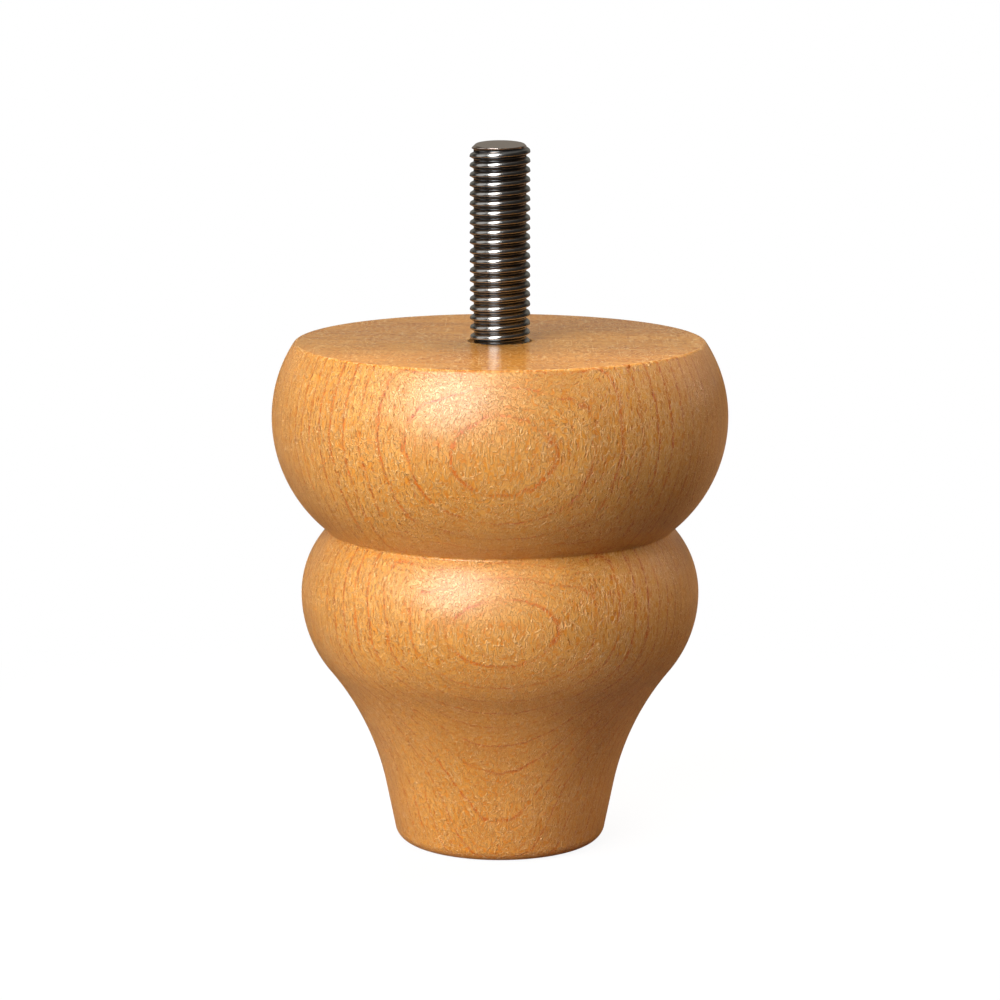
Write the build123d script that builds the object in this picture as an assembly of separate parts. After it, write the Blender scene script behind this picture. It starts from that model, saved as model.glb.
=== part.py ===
from build123d import *
from math import cos, radians, sin, tan
import os

# Turned hardwood furniture leg with a threaded steel stud, in millimetres.
# It stands on its foot: the origin is the centre of the foot's underside and +Z runs up the turning axis.

# Heights down the leg, each from one turned feature to the next
crown_height = 10.0
upper_bead_drop = 14.8
lower_bead_rise = 8.7
neck_and_foot_height = 33.5

# Diameters of the turned features
top_face_diameter = 53.8
upper_bead_diameter = 60.0
quirk_diameter = 45.4
lower_bead_diameter = 52.6
foot_diameter = 27.3

# Curves and edges of the turning; the quirk is the sharp cut of a skew chisel
lower_bead_underside_radius = 15.5
foot_taper_angle = 11.5
foot_taper_length = 7.8
foot_rim_radius = 2.0
top_edge_chamfer = 0.3

# Steel stud: a headless M8 x 1.25 screw, 50 long, a little over half of it showing
thread_diameter = 8.0
thread_pitch = 1.25
stud_above_wood = 26.0
stud_in_wood = 24.0
stud_end_chamfer = 0.8

# Blind hole for the stud: opened out at its mouth, drilled a little deeper than the stud goes
mouth_clearance = 0.15
mouth_depth = 2.5
hole_end_room = 1.0
drill_point_angle = 118.0

# Heights above the floor that follow from the sizes above
lower_bead_height = neck_and_foot_height
quirk_height = lower_bead_height + lower_bead_rise
upper_bead_height = quirk_height + upper_bead_drop
leg_height = upper_bead_height + crown_height

# Radii of the thread and of the hole that it bites into
thread_radius = thread_diameter / 2
pitch_line_depth = 3 * 3**0.5 / 16 * thread_pitch
bite_radius = thread_radius - pitch_line_depth


def neck_joint(taper_top, taper_direction):
    """The point where the hollow neck runs tangentially into the underside of the lower bead."""
    bead_centre = Vector(lower_bead_diameter / 2 - lower_bead_underside_radius, lower_bead_height)
    outward = Vector(taper_direction.Y, -taper_direction.X)
    reach = taper_top - bead_centre
    neck_radius = (reach.dot(reach) - lower_bead_underside_radius**2) / (
        2 * (lower_bead_underside_radius - reach.dot(outward))
    )
    neck_centre = taper_top + outward * neck_radius
    share = lower_bead_underside_radius / (lower_bead_underside_radius + neck_radius)
    return bead_centre + (neck_centre - bead_centre) * share


def turned_half_section():
    """Half of the leg's lengthwise section: foot, hollow neck, two beads with a quirk between, flat top."""
    up = (0, 1)
    down = (0, -1)
    taper = radians(foot_taper_angle)
    taper_direction = Vector(sin(taper), cos(taper))
    foot_edge = Vector(foot_diameter / 2, 0)
    taper_top = foot_edge + taper_direction * foot_taper_length
    joint = neck_joint(taper_top, taper_direction)
    lower_bead = Vector(lower_bead_diameter / 2, lower_bead_height)
    quirk = Vector(quirk_diameter / 2, quirk_height)
    upper_bead = Vector(upper_bead_diameter / 2, upper_bead_height)
    top_edge = Vector(top_face_diameter / 2, leg_height)

    with BuildSketch(Plane.XZ) as section:
        with BuildLine():
            Line((0, 0), foot_edge)
            Line(foot_edge, taper_top)
            TangentArc(taper_top, joint, tangent=taper_direction)
            TangentArc(lower_bead, joint, tangent=down)
            TangentArc(lower_bead, quirk, tangent=up)
            TangentArc(upper_bead, quirk, tangent=down)
            TangentArc(upper_bead, top_edge, tangent=up)
            Line(top_edge, (0, leg_height))
            Line((0, leg_height), (0, 0))
        make_face()
        fillet(section.vertices().sort_by_distance(foot_edge)[0], foot_rim_radius)
        chamfer(section.vertices().sort_by_distance(top_edge)[0], top_edge_chamfer)
    return section.sketch


def stud_hole():
    """The drilled hole with its drill point, and its mouth opened out to let the thread in."""
    depth = stud_in_wood + hole_end_room
    point_depth = bite_radius / tan(radians(drill_point_angle / 2))
    mouth_radius = thread_radius + mouth_clearance
    with BuildSketch(Plane.XZ) as section:
        with BuildLine():
            Polyline(
                (0, leg_height),
                (mouth_radius, leg_height),
                (mouth_radius, leg_height - mouth_depth),
                (bite_radius, leg_height - mouth_depth),
                (bite_radius, leg_height - depth),
                (0, leg_height - depth - point_depth),
                close=True,
            )
        make_face()
    return revolve(section.sketch, axis=Axis.Z)


def turned_leg():
    """The whole leg, turned from one piece of wood and drilled from its top face."""
    return revolve(turned_half_section(), axis=Axis.Z) - stud_hole()


def threaded_stud():
    """The stud, plain at the thread's outside diameter in the open and at its pitch line in the wood."""
    foot_end = leg_height - stud_in_wood
    free_end = leg_height + stud_above_wood
    with BuildSketch(Plane.XZ) as section:
        with BuildLine():
            Polyline(
                (0, foot_end),
                (bite_radius - stud_end_chamfer, foot_end),
                (bite_radius, foot_end + stud_end_chamfer),
                (bite_radius, leg_height),
                (thread_radius, leg_height),
                (thread_radius, free_end - stud_end_chamfer),
                (thread_radius - stud_end_chamfer, free_end),
                (0, free_end),
                close=True,
            )
        make_face()
    return revolve(section.sketch, axis=Axis.Z)


os.makedirs("parts", exist_ok=True)
pieces = {
    "turned_leg": turned_leg(),
    "threaded_stud": threaded_stud(),
}
for name, piece in pieces.items():
    export_step(piece, f"parts/{name}.step")
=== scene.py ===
from math import atan2, ceil, cos, hypot, pi, radians, sin, tan
import random
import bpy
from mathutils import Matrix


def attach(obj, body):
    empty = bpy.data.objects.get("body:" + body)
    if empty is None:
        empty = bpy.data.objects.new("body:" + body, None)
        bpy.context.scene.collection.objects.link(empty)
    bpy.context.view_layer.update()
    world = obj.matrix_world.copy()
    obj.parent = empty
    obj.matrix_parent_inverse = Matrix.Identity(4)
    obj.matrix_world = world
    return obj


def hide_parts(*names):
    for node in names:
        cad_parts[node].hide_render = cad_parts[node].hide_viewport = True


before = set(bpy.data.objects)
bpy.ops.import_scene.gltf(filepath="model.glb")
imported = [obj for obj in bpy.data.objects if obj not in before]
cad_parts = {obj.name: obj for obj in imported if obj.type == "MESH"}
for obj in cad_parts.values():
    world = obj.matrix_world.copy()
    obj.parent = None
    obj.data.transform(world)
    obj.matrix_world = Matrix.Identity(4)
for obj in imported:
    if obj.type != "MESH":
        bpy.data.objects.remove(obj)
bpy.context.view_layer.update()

from types import SimpleNamespace

import bmesh
import bpy
from mathutils import Vector

# Turned leg, in millimetres, named as in the CAD source
crown_height = 10.0
upper_bead_drop = 14.8
lower_bead_rise = 8.7
neck_and_foot_height = 33.5
top_face_radius = 26.9
upper_bead_radius = 30.0
quirk_radius = 22.7
lower_bead_radius = 26.3
foot_radius = 13.65
lower_bead_underside_radius = 15.5
foot_taper_angle = radians(11.5)
foot_taper_length = 7.8
foot_rim_radius = 2.0
top_arris = 0.3
quirk_softness = 0.3

# Heights above the floor that follow from them
quirk_height = neck_and_foot_height + lower_bead_rise
upper_bead_height = quirk_height + upper_bead_drop
leg_height = upper_bead_height + crown_height

# Stud, its M8 x 1.25 thread and the hole that holds it
thread_radius = 4.0
thread_pitch = 1.25
thread_turns = 26
crest_radius = 3.96
thread_depth = 0.52
crest_rounding_above = 0.68
crest_rounding_below = 0.08
brow_rounding = 0.25
root_rounding = 0.05
first_crest_on_the_left = 0.41
turns_below_that_crest = 3.5
stud_above_wood = 26.0
stud_in_wood = 24.0
end_chamfer = 1.0
end_slant = radians(4.5)
bite_radius = 3.594
shank_radius = 3.58
shank_gap = 0.1
shank_lap = 0.6
mouth_radius = 4.15
mouth_depth = 2.5
mouth_rim = 0.6
mouth_softness = 0.12
hole_end_room = 1.0
drill_point_angle = radians(118)
stud_top = leg_height + stud_above_wood
stud_foot = leg_height - stud_in_wood

# Wood fibres that the drill has lifted round the mouth
fibre_lift = 0.08
fibre_reach = 0.3
fibre_depth = 0.2

# How finely round shapes are divided
steps_round_leg = 256
steps_round_thread = 96
longest_arc_step = 0.5

# Level faces, and those with many corners, are shaded flat
level_normal = 0.9999
flat_face_corners = 9

# How near two points count as one, and a millimetre in metres
same_place = 0.01
leg_weld = 0.001
thread_weld = 0.004
millimetre = 0.001


# Drawing an outline in the XZ plane and turning it

def start_at(bm, x, z):
    """The first point of an outline."""
    return bm.verts.new((x, 0, z))


def line_to(bm, point, x, z, parts=1):
    """A straight run from point, in equal parts; returns its end."""
    start = point.co.copy()
    for part in range(1, parts + 1):
        point = bmesh.ops.extrude_vert_indiv(bm, verts=[point])["verts"][0]
        point.co = start.lerp((x, 0, z), part / parts)
    return point


def arc_to(bm, point, centre, end, parts=0):
    """The short arc from point about centre, to the direction of end; returns its end."""
    from_x = point.co.x - centre[0]
    from_z = point.co.z - centre[1]
    to_x = end[0] - centre[0]
    to_z = end[1] - centre[1]
    angle = atan2(from_x * to_z - from_z * to_x, from_x * to_x + from_z * to_z)
    steps = parts or ceil(abs(angle) * hypot(from_x, from_z) / longest_arc_step)
    made = bmesh.ops.spin(
        bm, geom=[point], cent=(centre[0], 0, centre[1]), axis=(0, -1, 0), angle=angle, steps=steps
    )
    return [part for part in made["geom_last"] if isinstance(part, bmesh.types.BMVert)][0]


def bead_arc_centre(bead, edge):
    """Centre of the arc that is upright at the bead's widest point and passes through edge."""
    across = bead[0] - edge[0]
    rise = edge[1] - bead[1]
    return (bead[0] - (across**2 + rise**2) / (2 * across), bead[1])


def turn_solid(bm, steps):
    """Turns the outline about Z into a closed solid."""
    bmesh.ops.spin(
        bm,
        geom=bm.verts[:] + bm.edges[:],
        cent=(0, 0, 0),
        axis=(0, 0, 1),
        angle=2 * pi,
        steps=steps,
        use_merge=True,
    )
    bmesh.ops.remove_doubles(bm, verts=bm.verts[:], dist=leg_weld)


def ring_edges(bm, radius, height):
    """The edges that run round the axis at one radius and height."""
    def on_ring(vert):
        off_radius = abs(hypot(vert.co.x, vert.co.y) - radius)
        return off_radius < same_place and abs(vert.co.z - height) < same_place

    return [edge for edge in bm.edges if all(on_ring(vert) for vert in edge.verts)]


def soften(bm, edges, width, segments):
    """Rounds edges over with a bevel."""
    bmesh.ops.bevel(
        bm,
        geom=edges,
        offset=width,
        offset_type="OFFSET",
        segments=segments,
        profile=0.5,
        affect="EDGES",
        clamp_overlap=True,
        material=-1,
    )


def boundary_at(bm, height):
    """The open edges that lie at one height."""
    def at_height(vert):
        return abs(vert.co.z - height) < same_place

    return [edge for edge in bm.edges if edge.is_boundary and all(at_height(vert) for vert in edge.verts)]


def finish_piece(bm, name, node, material):
    """Brings a piece to metres, and puts it in the scene in place of its CAD node."""
    bmesh.ops.recalc_face_normals(bm, faces=bm.faces[:])
    for face in bm.faces:
        face.smooth = abs(face.normal.z) < level_normal and len(face.verts) < flat_face_corners
    bmesh.ops.scale(bm, vec=(millimetre, millimetre, millimetre), verts=bm.verts[:])
    mesh = bpy.data.meshes.new(name)
    bm.to_mesh(mesh)
    bm.free()
    mesh.materials.append(material)
    piece = bpy.data.objects.new(name, mesh)
    bpy.context.scene.collection.objects.link(piece)
    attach(piece, "root")
    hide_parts(node)


# The leg

def neck_arc(taper_top, bead_centre):
    """Centre of the hollow neck, and the point where it runs into the underside of the lower bead."""
    outward = Vector((cos(foot_taper_angle), -sin(foot_taper_angle)))
    reach = taper_top - bead_centre
    bead = lower_bead_underside_radius
    radius = (reach.length_squared - bead**2) / (2 * (bead - reach.dot(outward)))
    centre = taper_top + outward * radius
    joint = bead_centre + (centre - bead_centre) * bead / (bead + radius)
    return centre, joint


def draw_leg_outline(bm):
    """Half the leg's lengthwise section, from the foot's middle up and in to the end of the stud's hole."""
    taper_direction = Vector((sin(foot_taper_angle), cos(foot_taper_angle)))
    taper_top = Vector((foot_radius, 0)) + foot_taper_length * taper_direction
    underside_centre = Vector((lower_bead_radius - lower_bead_underside_radius, neck_and_foot_height))
    neck_centre, joint = neck_arc(taper_top, underside_centre)
    lower_bead = (lower_bead_radius, neck_and_foot_height)
    quirk = (quirk_radius, quirk_height)
    upper_bead = (upper_bead_radius, upper_bead_height)
    top_edge = (top_face_radius, leg_height)
    hole_end = stud_foot - hole_end_room

    point = start_at(bm, 0, 0)
    point = line_to(bm, point, foot_radius, 0)
    point = line_to(bm, point, taper_top.x, taper_top.y)
    point = arc_to(bm, point, neck_centre, joint)
    point = arc_to(bm, point, underside_centre, lower_bead)
    point = arc_to(bm, point, bead_arc_centre(lower_bead, quirk), quirk)
    point = arc_to(bm, point, bead_arc_centre(upper_bead, quirk), upper_bead)
    point = arc_to(bm, point, bead_arc_centre(upper_bead, top_edge), top_edge)
    point = line_to(bm, point, mouth_radius + mouth_rim, leg_height)
    point = line_to(bm, point, mouth_radius, leg_height)
    point = line_to(bm, point, mouth_radius, leg_height - mouth_depth)
    point = line_to(bm, point, bite_radius, leg_height - mouth_depth)
    point = line_to(bm, point, bite_radius, hole_end)
    line_to(bm, point, 0, hole_end - bite_radius / tan(drill_point_angle / 2))


def raise_mouth_fibres(bm):
    """Lifts the fibres round the hole's mouth a little, as a drill leaves them."""
    dice = random.Random(5)
    for vert in bm.verts:
        radius = hypot(vert.co.x, vert.co.y)
        if radius < mouth_radius + fibre_reach and abs(vert.co.z - leg_height) < fibre_depth:
            vert.co.z += dice.uniform(0.0, fibre_lift)


def turned_leg():
    """The turned wooden leg, with its hole."""
    bm = bmesh.new()
    draw_leg_outline(bm)
    turn_solid(bm, steps_round_leg)
    rim_turn = pi / 2 - foot_taper_angle
    rim_width = foot_rim_radius * tan(rim_turn / 2)
    soften(bm, ring_edges(bm, foot_radius, 0), rim_width, segments=14)
    soften(bm, ring_edges(bm, quirk_radius, quirk_height), quirk_softness, segments=4)
    soften(bm, ring_edges(bm, top_face_radius, leg_height), top_arris, segments=4)
    soften(bm, ring_edges(bm, mouth_radius, leg_height), mouth_softness, segments=2)
    raise_mouth_fibres(bm)
    finish_piece(bm, "leg_turning", "turned_leg", beech_material())


# The stud

def draw_thread_outline(bm, crest_height):
    """One pitch of the thread, from root to root; the crest is sharp below and rolls over broadly above."""
    flank = radians(60)
    over = radians(30)
    root_radius = crest_radius - thread_depth
    root_centre = root_radius + root_rounding
    root_shoulder = root_centre - root_rounding * cos(flank)
    below = crest_radius - crest_rounding_below
    above = crest_radius - crest_rounding_above
    lower_shoulder = (
        below + crest_rounding_below * cos(flank),
        crest_height - crest_rounding_below * sin(flank),
    )
    brow = (
        above + crest_rounding_above * cos(over),
        crest_height + crest_rounding_above * sin(over),
    )
    brow_centre = (
        brow[0] - brow_rounding * cos(over),
        brow[1] - brow_rounding * sin(over),
    )
    upper_shoulder = (
        brow_centre[0] + brow_rounding * cos(flank),
        brow_centre[1] + brow_rounding * sin(flank),
    )
    lower_root_end = lower_shoulder[1] - (lower_shoulder[0] - root_shoulder) / tan(flank)
    upper_root_end = upper_shoulder[1] + (upper_shoulder[0] - root_shoulder) / tan(flank)
    lower_root = lower_root_end - root_rounding * sin(flank)
    upper_root = upper_root_end + root_rounding * sin(flank)
    spare = (thread_pitch - upper_root + lower_root) / 2

    point = start_at(bm, root_radius, lower_root - spare)
    point = line_to(bm, point, root_radius, lower_root)
    point = arc_to(bm, point, (root_centre, lower_root), (root_shoulder, lower_root_end), 2)
    point = line_to(bm, point, lower_shoulder[0], lower_shoulder[1], 2)
    point = arc_to(bm, point, (below, crest_height), (crest_radius, crest_height), 3)
    point = arc_to(bm, point, (above, crest_height), brow, 5)
    point = arc_to(bm, point, brow_centre, upper_shoulder, 2)
    point = line_to(bm, point, root_shoulder, upper_root_end)
    point = arc_to(bm, point, (root_centre, upper_root), (root_radius, upper_root), 2)
    line_to(bm, point, root_radius, upper_root + spare)


def wind_thread(bm, turns):
    """Winds the drawn pitch once round as a right-hand thread, and stacks copies of that turn."""
    bmesh.ops.spin(
        bm,
        geom=bm.verts[:] + bm.edges[:],
        cent=(0, 0, 0),
        axis=(0, 0, 1),
        dvec=(0, 0, thread_pitch / steps_round_thread),
        angle=2 * pi,
        steps=steps_round_thread,
    )
    first_turn = bm.verts[:] + bm.edges[:] + bm.faces[:]
    for turn in range(1, turns):
        copied = bmesh.ops.duplicate(bm, geom=first_turn)["geom"]
        points = [part for part in copied if isinstance(part, bmesh.types.BMVert)]
        bmesh.ops.translate(bm, verts=points, vec=(0, 0, turn * thread_pitch))
    bmesh.ops.remove_doubles(bm, verts=bm.verts[:], dist=thread_weld)


def shape_thread_ends(bm, shank_top):
    """Chamfers the thread's free end, and runs its other end out to a plain shank in the wood."""
    for vert in bm.verts:
        radius = hypot(vert.co.x, vert.co.y)
        wanted = min(radius, thread_radius - end_chamfer + max(0.0, stud_top - vert.co.z))
        if vert.co.z < shank_top:
            wanted = shank_radius
        vert.co.x *= wanted / radius
        vert.co.y *= wanted / radius


def cut_off(bm, place, upper_part, slant=0.0):
    """Cuts the piece at a place, level or a little slanted, and throws away its upper or lower part."""
    bmesh.ops.bisect_plane(
        bm,
        geom=bm.verts[:] + bm.edges[:] + bm.faces[:],
        dist=0.00001,
        plane_co=place,
        plane_no=(0, -sin(slant), cos(slant)),
        clear_outer=upper_part,
        clear_inner=not upper_part,
    )


def draw_out(bm, edges, height, radius):
    """Extrudes an open end to a new height and radius; returns its new edges."""
    made = bmesh.ops.extrude_edge_only(bm, edges=edges)
    for part in made["geom"]:
        if isinstance(part, bmesh.types.BMVert):
            old = hypot(part.co.x, part.co.y)
            part.co = (part.co.x * radius / old, part.co.y * radius / old, height)
    return [part for part in made["geom"] if isinstance(part, bmesh.types.BMEdge)]


def threaded_stud():
    """The steel stud: a real helical thread in the open, a plain shank where it bites into the wood."""
    bm = bmesh.new()
    shank_top = leg_height - mouth_depth + shank_gap
    shank_cut = shank_top - shank_lap
    draw_thread_outline(bm, leg_height + first_crest_on_the_left - turns_below_that_crest * thread_pitch)
    wind_thread(bm, thread_turns)
    shape_thread_ends(bm, shank_top)
    cut_off(bm, (0, thread_radius - end_chamfer, stud_top), True, end_slant)
    free_end = [edge for edge in bm.edges if edge.is_boundary and edge.verts[0].co.z > leg_height]
    bmesh.ops.holes_fill(bm, edges=free_end)
    cut_off(bm, (0, 0, shank_cut), False)
    end = draw_out(bm, boundary_at(bm, shank_cut), stud_foot + end_chamfer, shank_radius)
    end = draw_out(bm, end, stud_foot, shank_radius - end_chamfer)
    bmesh.ops.holes_fill(bm, edges=end, sides=0)
    finish_piece(bm, "stud_thread", "threaded_stud", steel_material())


# Colours, as red, green, blue and one; a stain multiplies what lies under it
white = (1, 1, 1, 1)
pale_wood = (0.71, 0.325, 0.062, 1)
warm_wood = (0.76, 0.360, 0.075, 1)
streak_stain = (0.82, 0.74, 0.64, 1)
fibre_stain = (0.93, 0.76, 0.30, 1)
late_wood_stain = (0.95, 0.79, 0.45, 1)
fine_line_stain = (0.95, 0.78, 0.36, 1)
year_line_stain = (0.92, 0.64, 0.08, 1)
bold_line_stain = (0.90, 0.80, 0.60, 1)
fleck_stain = (0.88, 0.58, 0.14, 1)
speck_stain = (0.94, 0.78, 0.35, 1)
# Painted glint: a lighter colour on the lacquer's strokes and curls
painted_stroke_glint = (0.86, 0.49, 0.18, 1)
ring_stain = (0.88, 0.82, 0.70, 1)
pore_stain = (0.80, 0.72, 0.58, 1)
# Painted sheen: light strokes across the end grain, laid out like rays
end_grain_painted_sheen = (0.98, 0.62, 0.27, 1)
# Painted shade: the top face darker and cooler towards the back
top_face_painted_shade = (0.68, 0.73, 0.80, 1)
# Darker towards the back of the leg
towards_back_darkening = (0.92, 0.88, 0.84, 1)
dull_steel = (0.50, 0.485, 0.46, 1)
bright_steel = (0.58, 0.565, 0.54, 1)
# Painted shade: dark colour in the thread's roots
root_painted_shade = (0.14, 0.14, 0.14, 1)
shaded_steel = (0.24, 0.24, 0.24, 1)
cut_steel = (0.80, 0.67, 0.59, 1)

# The growth layers, whose pith lies far behind the leg, and the heights where the top face's end grain begins
pith_place = (-1.0, 100, 0)
bark_radius = 130.2
years_a_millimetre = 0.741
first_part_year = 0.3
fine_lines_a_year = 4.0
end_grain_from = leg_height - 0.35
end_grain_full = leg_height - 0.05


# Materials

class Graph:
    """Shader nodes of a material or world, added one at a time and joined by their sockets."""

    def __init__(self, owner):
        self.owner = owner
        self.owner.use_nodes = True
        self.tree = owner.node_tree
        self.tree.nodes.clear()

    def add(self, kind, inputs, output=0, **settings):
        """A node with its inputs joined or set; returns one of its outputs."""
        made = self.tree.nodes.new("ShaderNode" + kind)
        for key, value in settings.items():
            setattr(made, key, value)
        for key, value in inputs.items():
            if isinstance(value, bpy.types.NodeSocket):
                self.tree.links.new(value, made.inputs[key])
            else:
                made.inputs[key].default_value = value
        return made.outputs[output]

    def finish(self, shader, kind="OutputMaterial"):
        """Joins the shader to an output; returns the finished material or world."""
        made = self.tree.nodes.new("ShaderNode" + kind)
        self.tree.links.new(shader, made.inputs["Surface"])
        return self.owner

    def millimetres(self):
        """The place on the piece, in millimetres."""
        place = self.add("TexCoord", {}, "Object")
        return self.add("VectorMath", {0: place, "Scale": 1 / millimetre}, operation="SCALE")

    def part(self, vector, axis):
        """The vector's share along X, Y or Z."""
        return self.add("SeparateXYZ", {0: vector}, axis)

    def length(self, vector):
        return self.add("VectorMath", {0: vector}, "Value", operation="LENGTH")

    def math(self, operation, first, second=0.0):
        return self.add("Math", {0: first, 1: second}, operation=operation)

    def plus(self, first, second):
        return self.math("ADD", first, second)

    def minus(self, first, second):
        return self.math("SUBTRACT", first, second)

    def times(self, *factors):
        """The factors multiplied together."""
        result = factors[0]
        for factor in factors[1:]:
            result = self.math("MULTIPLY", result, factor)
        return result

    def larger(self, first, second):
        return self.math("MAXIMUM", first, second)

    def stretch(self, vector, along):
        """The vector with each of its directions multiplied."""
        return self.add("VectorMath", {0: vector, 1: along}, operation="MULTIPLY")

    def noise(self, vector, waves, detail=0.0, distortion=0.0):
        """Smooth noise around a half, with so many waves a millimetre in each direction."""
        place = self.stretch(vector, waves)
        inputs = {"Vector": place, "Scale": 1.0, "Detail": detail, "Distortion": distortion}
        return self.add("TexNoise", inputs, "Fac")

    def ridges(self, noise, width):
        """Thin winding lines where the noise passes through a half."""
        return self.rise(self.math("ABSOLUTE", self.minus(noise, 0.5)), 0.0, width, 1.0, 0.0)

    def rise(self, value, low, high, bottom=0.0, top=1.0):
        """Rises smoothly from bottom to top while value goes from low to high."""
        inputs = {"Value": value, "From Min": low, "From Max": high, "To Min": bottom, "To Max": top}
        return self.add("MapRange", inputs, interpolation_type="SMOOTHSTEP")

    def ramp(self, value, stops):
        """A grey level for each value, from a list of stops."""
        made = self.tree.nodes.new("ShaderNodeValToRGB")
        self.tree.links.new(value, made.inputs["Fac"])
        for _ in stops[2:]:
            made.color_ramp.elements.new(0.5)
        for element, (position, level) in zip(made.color_ramp.elements, stops):
            element.position = position
        for element, (position, level) in zip(made.color_ramp.elements, stops):
            element.color = (level, level, level, 1)
        return made.outputs["Color"]

    def tint(self, share, colour, other):
        """Goes from colour to other by share."""
        return self.add("Mix", {0: share, 6: colour, 7: other}, 2, data_type="RGBA")

    def stain(self, share, colour, by):
        """Multiplies colour by another by share."""
        return self.add("Mix", {0: share, 6: colour, 7: by}, 2, data_type="RGBA", blend_type="MULTIPLY")


def side_bend(graph, flat, at):
    """How far the layers bend at the sides to follow the beads; their lines stay nearly upright there."""
    on_top = graph.rise(at.height, end_grain_from, end_grain_full, 0.0, top_face_radius)
    widest = graph.add(
        "MapRange",
        {
            "Value": at.height,
            "From Min": neck_and_foot_height,
            "From Max": upper_bead_height,
            "To Min": lower_bead_radius,
            "To Max": upper_bead_radius,
        },
    )
    hollow = graph.minus(widest, graph.larger(graph.length(flat), on_top))
    share = graph.times(graph.rise(at.off_middle, 6.0, 15.0), graph.rise(at.height, 24.0, 36.0, 0.0, 0.8))
    return graph.times(share, hollow)


def growth_depth(graph, at):
    """How deep a place lies under the bark side, in millimetres, along growth layers that lean and sway."""
    flat = graph.stretch(at.place, (1, 1, 0))
    from_pith = graph.add("VectorMath", {0: flat, 1: pith_place}, "Value", operation="DISTANCE")
    up = graph.minus(at.height, upper_bead_height)
    wave = graph.times(graph.math("COSINE", graph.plus(graph.times(up, 0.2), 0.6)), 0.3)
    lean = graph.plus(graph.times(up, 0.038), wave)
    depth = graph.plus(graph.minus(bark_radius, from_pith), lean)
    depth = graph.minus(depth, side_bend(graph, flat, at))
    slow = graph.minus(graph.noise(at.place, (0.055, 0.055, 0.055), 1.0), 0.5)
    quick = graph.minus(graph.noise(at.place, (0.7, 0.7, 0.21), 2.0), 0.5)
    return graph.plus(depth, graph.plus(graph.times(slow, 0.7), graph.times(quick, 0.3)))


def wood_places(graph):
    """Where a point lies on the leg, under the bark and in the years of growth."""
    at = SimpleNamespace(place=graph.millimetres())
    at.across = graph.part(at.place, "X")
    at.inward = graph.part(at.place, "Y")
    at.height = graph.part(at.place, "Z")
    at.off_middle = graph.math("ABSOLUTE", at.across)
    at.side = graph.rise(at.off_middle, 7.0, 18.0)
    at.end_grain = graph.rise(at.height, end_grain_from, end_grain_full)
    at.long_grain = graph.minus(1.0, at.end_grain)
    at.depth = growth_depth(graph, at)
    at.grain = graph.add("CombineXYZ", {0: at.across, 1: at.depth, 2: at.height})
    at.years = graph.plus(graph.times(at.depth, years_a_millimetre), first_part_year)
    return at


def growth_lines(graph, at, wood):
    """A dashed dark line where each year's growth ends, the late wood beside it, and fine lines between."""
    part_of_year = graph.math("FRACT", at.years)
    year = graph.math("FLOOR", at.years)
    chance = graph.add("TexWhiteNoise", {"W": year}, "Value", noise_dimensions="1D")
    strength = graph.rise(chance, 0.0, 1.0, 0.7, 1.0)
    dashed = graph.rise(graph.noise(at.grain, (0.45, 0.4, 0.16), 2.0), 0.38, 0.52, 0.3, 1.0)

    # The layers are cut more squarely at the sides, so a line of one width takes more of its year there
    after_line = graph.math("DIVIDE", part_of_year, graph.plus(1.0, graph.times(at.side, 1.4)))
    line = graph.ramp(after_line, [(0.0, 1.0), (0.04, 0.9), (0.08, 0.0), (0.985, 0.0), (1.0, 1.0)])
    line = graph.times(line, strength, dashed)
    late = graph.ramp(part_of_year, [(0.0, 1.0), (0.08, 0.6), (0.22, 0.12), (0.91, 0.0), (1.0, 1.0)])
    late = graph.times(late, strength, graph.rise(dashed, 0.0, 1.0, 0.4, 0.8))
    fine = graph.math("FRACT", graph.times(at.years, fine_lines_a_year))
    fine = graph.ramp(fine, [(0.0, 1.0), (0.12, 0.6), (0.3, 0.0), (0.94, 0.0), (1.0, 1.0)])
    fine = graph.times(fine, dashed, graph.minus(1.0, graph.times(at.side, 0.7)))
    bold = graph.larger(at.side, graph.rise(at.height, 20.0, 29.0, 0.9, 0.0))

    wood = graph.stain(late, wood, late_wood_stain)
    wood = graph.stain(fine, wood, fine_line_stain)
    wood = graph.stain(line, wood, year_line_stain)
    return graph.stain(graph.times(line, bold), wood, bold_line_stain)


def specks_and_painted_glints(graph, at, strokes, curls, wood):
    """Small dark specks under the lacquer, and painted glints where its strokes and curls catch the light."""
    specks = graph.rise(graph.noise(at.place, (3.4, 3.4, 2.04)), 0.5, 0.66, 0.0, 0.6)
    # The light strokes and curls are painted glints of the lacquer, tinted into its colour
    light = graph.larger(strokes, graph.times(curls, 0.8))
    wood = graph.stain(graph.times(specks, at.long_grain), wood, speck_stain)
    return graph.tint(graph.times(light, at.long_grain), wood, painted_stroke_glint)


def end_grain_marks(graph, at, wood):
    """The rings and pores of the top face, with light strokes across it that are a painted sheen laid out
    like rays, and painted shade that makes it darker and cooler from its middle to the back.
    """
    rings = graph.rise(graph.noise(at.place, (0.07, 0.42, 0), 3.0), 0.4, 0.65)
    pores = graph.rise(graph.noise(at.place, (1.8, 0.7, 0), 1.0), 0.5, 0.62)
    # Painted sheen: light strokes on the end grain, drawn like rays
    sheen_strokes = graph.ridges(graph.noise(at.place, (1.5, 0.5, 0)), 0.06)
    # Painted shade on the top face, darker and cooler from its middle to the back
    top_shade = graph.rise(at.inward, -19.0, -2.0)
    wood = graph.stain(graph.times(at.end_grain, rings), wood, ring_stain)
    wood = graph.stain(graph.times(at.end_grain, pores), wood, pore_stain)
    wood = graph.tint(graph.times(at.end_grain, sheen_strokes, 0.6), wood, end_grain_painted_sheen)
    return graph.stain(graph.times(at.end_grain, top_shade), wood, top_face_painted_shade)


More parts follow.
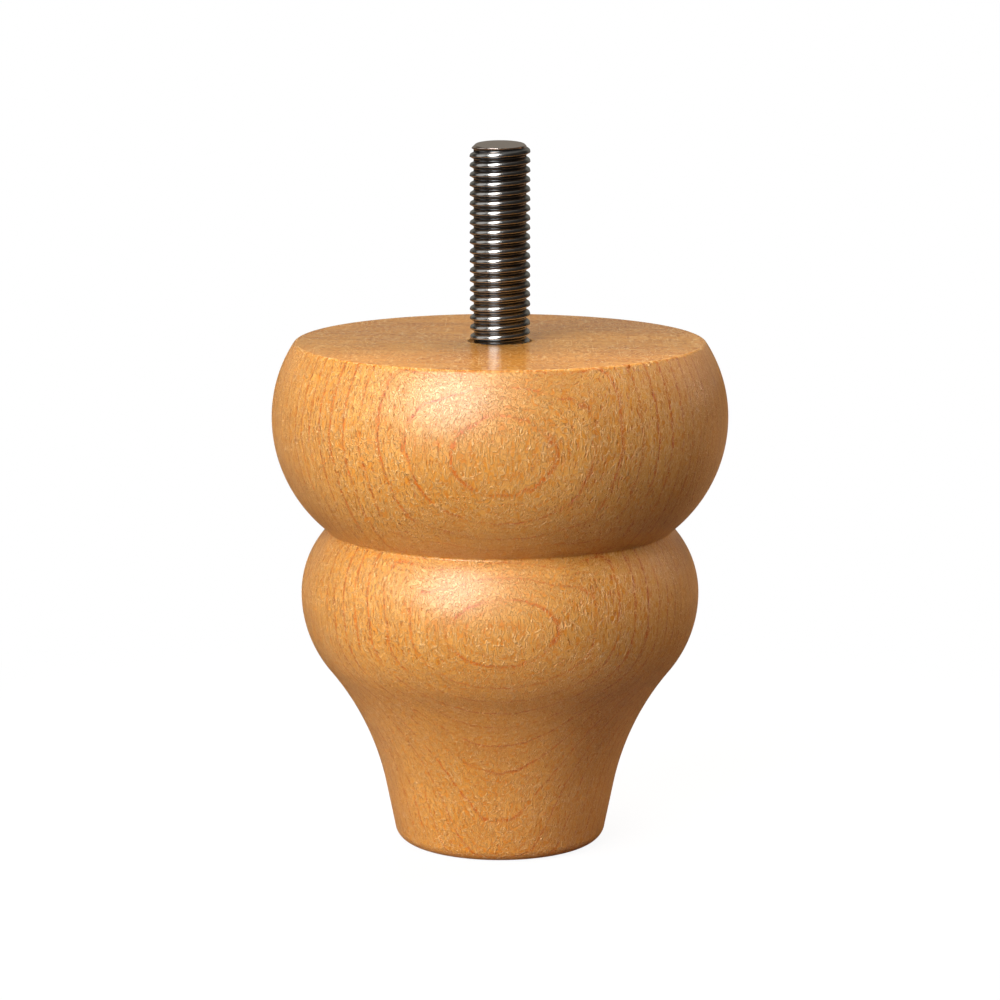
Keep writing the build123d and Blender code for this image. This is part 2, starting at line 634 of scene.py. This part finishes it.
def beech_material():
    """Beech under a honey-coloured satin lacquer."""
    graph = Graph(bpy.data.materials.new("lacquered_beech"))
    at = wood_places(graph)
    cloud = graph.noise(at.place, (0.08, 0.08, 0.04), 2.0)
    streak = graph.noise(at.grain, (0.12, 0.9, 0.05), 2.0)
    fibre = graph.noise(at.grain, (2.4, 5.0, 0.8))
    strokes = graph.ridges(fibre, 0.045)
    curls = graph.ridges(graph.noise(at.place, (2.3, 2.3, 2.3), distortion=0.8), 0.06)
    flecks = graph.rise(graph.noise(at.grain, (2.4, 8.0, 1.1)), 0.66, 0.76)
    flecks = graph.times(flecks, graph.rise(at.off_middle, 2.0, 16.0, 0.25, 1.0))

    wood = graph.tint(graph.rise(cloud, 0.3, 0.7), pale_wood, warm_wood)
    wood = graph.stain(graph.rise(streak, 0.35, 0.7, 0.0, 0.4), wood, streak_stain)
    wood = graph.stain(graph.rise(fibre, 0.54, 0.66, 0.0, 0.9), wood, fibre_stain)
    wood = growth_lines(graph, at, wood)
    wood = graph.stain(flecks, wood, fleck_stain)
    wood = specks_and_painted_glints(graph, at, strokes, curls, wood)
    wood = end_grain_marks(graph, at, wood)
    # The wood darkens where it lies deeper, towards the back of the leg
    wood = graph.stain(graph.rise(at.depth, 20.0, 45.0), wood, towards_back_darkening)

    relief = graph.minus(graph.plus(strokes, graph.times(curls, 0.7)), graph.times(flecks, 1.5))
    relief = graph.times(relief, at.long_grain)
    bump = graph.add("Bump", {"Height": relief, "Strength": 0.9, "Distance": 0.00014})
    gloss = graph.minus(graph.rise(cloud, 0.3, 0.7, 0.44, 0.54), graph.times(at.end_grain, 0.2))
    shader = graph.add(
        "BsdfPrincipled",
        {
            "Base Color": wood,
            "Roughness": gloss,
            "Normal": bump,
            "Specular IOR Level": 0.8,
            "Coat Weight": graph.minus(0.78, graph.times(at.end_grain, 0.43)),
            "Coat Roughness": 0.32,
        },
    )
    return graph.finish(shader)


def thread_underside(graph, place):
    """The flank below each crest, found along the thread's own helix."""
    turned = graph.math("ARCTAN2", graph.part(place, "Y"), graph.part(place, "X"))
    turned = graph.math("DIVIDE", turned, 2 * pi)
    climbed = graph.minus(graph.part(place, "Z"), leg_height + first_crest_on_the_left)
    climbed = graph.math("DIVIDE", climbed, thread_pitch)
    from_crest = graph.math("FRACT", graph.minus(graph.plus(climbed, 0.5), turned))
    return graph.times(graph.rise(from_crest, 0.6, 0.7), graph.rise(from_crest, 0.93, 0.98, 1.0, 0.0))


def steel_material():
    """Bare rolled steel, worn bright on the crests and the cut end, with painted shade in the thread's roots
    and on the flank under each crest.
    """
    graph = Graph(bpy.data.materials.new("bare_steel"))
    place = graph.millimetres()
    radius = graph.length(graph.stretch(place, (1, 1, 0)))
    patches = graph.rise(graph.noise(place, (0.9, 0.9, 0.9), 3.0), 0.35, 0.65)
    shaded_roots = graph.rise(radius, 3.45, 3.75, 1.0, 0.0)
    end_face = graph.rise(graph.part(place, "Z"), stud_top - 0.75, stud_top - 0.6)
    colour = graph.tint(patches, dull_steel, bright_steel)
    # Painted shade in the roots, and on the flank under each crest
    colour = graph.tint(shaded_roots, colour, root_painted_shade)
    colour = graph.tint(thread_underside(graph, place), colour, shaded_steel)
    colour = graph.tint(end_face, colour, cut_steel)
    gloss = graph.rise(graph.noise(place, (3, 3, 9), 2.0), 0.3, 0.7, 0.19, 0.25)
    shader = graph.add("BsdfPrincipled", {"Base Color": colour, "Metallic": 1.0, "Roughness": gloss})
    return graph.finish(shader)


# Stage, light and camera, in metres
floor_half_width = 3.0
lamp_distance = 0.65
lamp_aim = Vector((0, 0, 0.05))
camera_place = (0, -0.4950, 0.13639)
camera_tilt = radians(79.624)
focal_length = 137.13
sensor_width = 36


def floor_material():
    """Pale floor: white to the camera, with the leg's shadow kept faintly round its foot."""
    graph = Graph(bpy.data.materials.new("pale_floor"))
    place = graph.millimetres()
    seen = graph.add("LightPath", {}, "Is Camera Ray")
    away = graph.length(place)
    behind = graph.rise(graph.part(place, "Y"), -60.0, 200.0)
    near = graph.rise(away, 20.0, 90.0, 1.0, 0.0)
    unseen = graph.tint(graph.larger(behind, near), (0.06, 0.04, 0.025, 1), (0.27, 0.16, 0.09, 1))
    matt = graph.add("BsdfDiffuse", {"Color": graph.tint(seen, unseen, white)})
    glow = graph.add("Emission", {"Color": white, "Strength": 1.0})
    share = graph.times(seen, graph.rise(away, 30.0, 130.0, 0.92, 1.0))
    return graph.finish(graph.add("MixShader", {0: share, 1: matt, 2: glow}))


def floor():
    """A wide plane at the foot's height."""
    bm = bmesh.new()
    bmesh.ops.create_grid(bm, x_segments=1, y_segments=1, size=floor_half_width)
    mesh = bpy.data.meshes.new("floor")
    bm.to_mesh(mesh)
    bm.free()
    mesh.materials.append(floor_material())
    plane = bpy.data.objects.new("floor", mesh)
    bpy.context.scene.collection.objects.link(plane)


def studio_world():
    """A dim warm room to matt surfaces, with a pale backdrop to glossy ones, and white in the picture."""
    graph = Graph(bpy.data.worlds.new("studio"))
    direction = graph.add("TexCoord", {}, "Generated")
    behind = graph.rise(graph.part(direction, "Y"), 0.45, 0.9)
    above = graph.rise(graph.part(direction, "Z"), 0.6, 0.95)
    mirrored = graph.tint(above, (0.030, 0.028, 0.025, 1), (0.15, 0.15, 0.145, 1))
    mirrored = graph.tint(behind, mirrored, (0.235, 0.225, 0.20, 1))
    room = graph.tint(graph.add("LightPath", {}, "Is Glossy Ray"), (0.06, 0.027, 0.010, 1), mirrored)
    picture = graph.tint(graph.add("LightPath", {}, "Is Camera Ray"), room, white)
    light = graph.add("Background", {"Color": picture})
    bpy.context.scene.world = graph.finish(light, "OutputWorld")


def softbox(name, direction, size, power, colour=(1, 1, 1), lights=True, mirrored=True):
    """A lamp that faces the leg; azimuth 0 is on the camera's side and a negative one to its left."""
    azimuth, elevation = direction
    lamp = bpy.data.lights.new(name, "AREA")
    lamp.shape = "ELLIPSE"
    lamp.size, lamp.size_y = size
    lamp.energy = power
    lamp.color = colour
    holder = bpy.data.objects.new(name, lamp)
    turn = radians(azimuth)
    lift = radians(elevation)
    towards = Vector((sin(turn) * cos(lift), -cos(turn) * cos(lift), sin(lift)))
    holder.location = lamp_aim + towards * lamp_distance
    holder.rotation_euler = towards.to_track_quat("Z", "Y").to_euler()
    holder.visible_diffuse = lights
    holder.visible_glossy = mirrored
    bpy.context.scene.collection.objects.link(holder)


def lamps():
    """Three lamps that light the leg, and two that only show as highlights on it."""
    softbox("key", (-36, 28), (0.68, 0.6), 8.6, mirrored=False)
    softbox("glint", (-29, 38), (0.38, 0.64), 4.5, (0.94, 0.97, 1), lights=False)
    softbox("side", (-84, 24), (0.5, 0.6), 0.45, lights=False)
    softbox("rim", (118, 20), (0.2, 0.4), 2.3, (1, 0.93, 0.9), mirrored=False)
    softbox("back", (180, 60), (0.6, 0.6), 4.4, (1, 0.97, 0.86), mirrored=False)


def camera():
    """The photograph's view: half a metre away, looking down by ten degrees."""
    lens = bpy.data.cameras.new("camera")
    lens.lens = focal_length
    lens.sensor_width = sensor_width
    lens.clip_start = 0.01
    holder = bpy.data.objects.new("camera", lens)
    holder.location = camera_place
    holder.rotation_euler = (camera_tilt, 0, 0)
    bpy.context.scene.collection.objects.link(holder)
    bpy.context.scene.camera = holder


bpy.context.scene.view_settings.view_transform = "Standard"
camera()
floor()
studio_world()
lamps()
turned_leg()
threaded_stud()
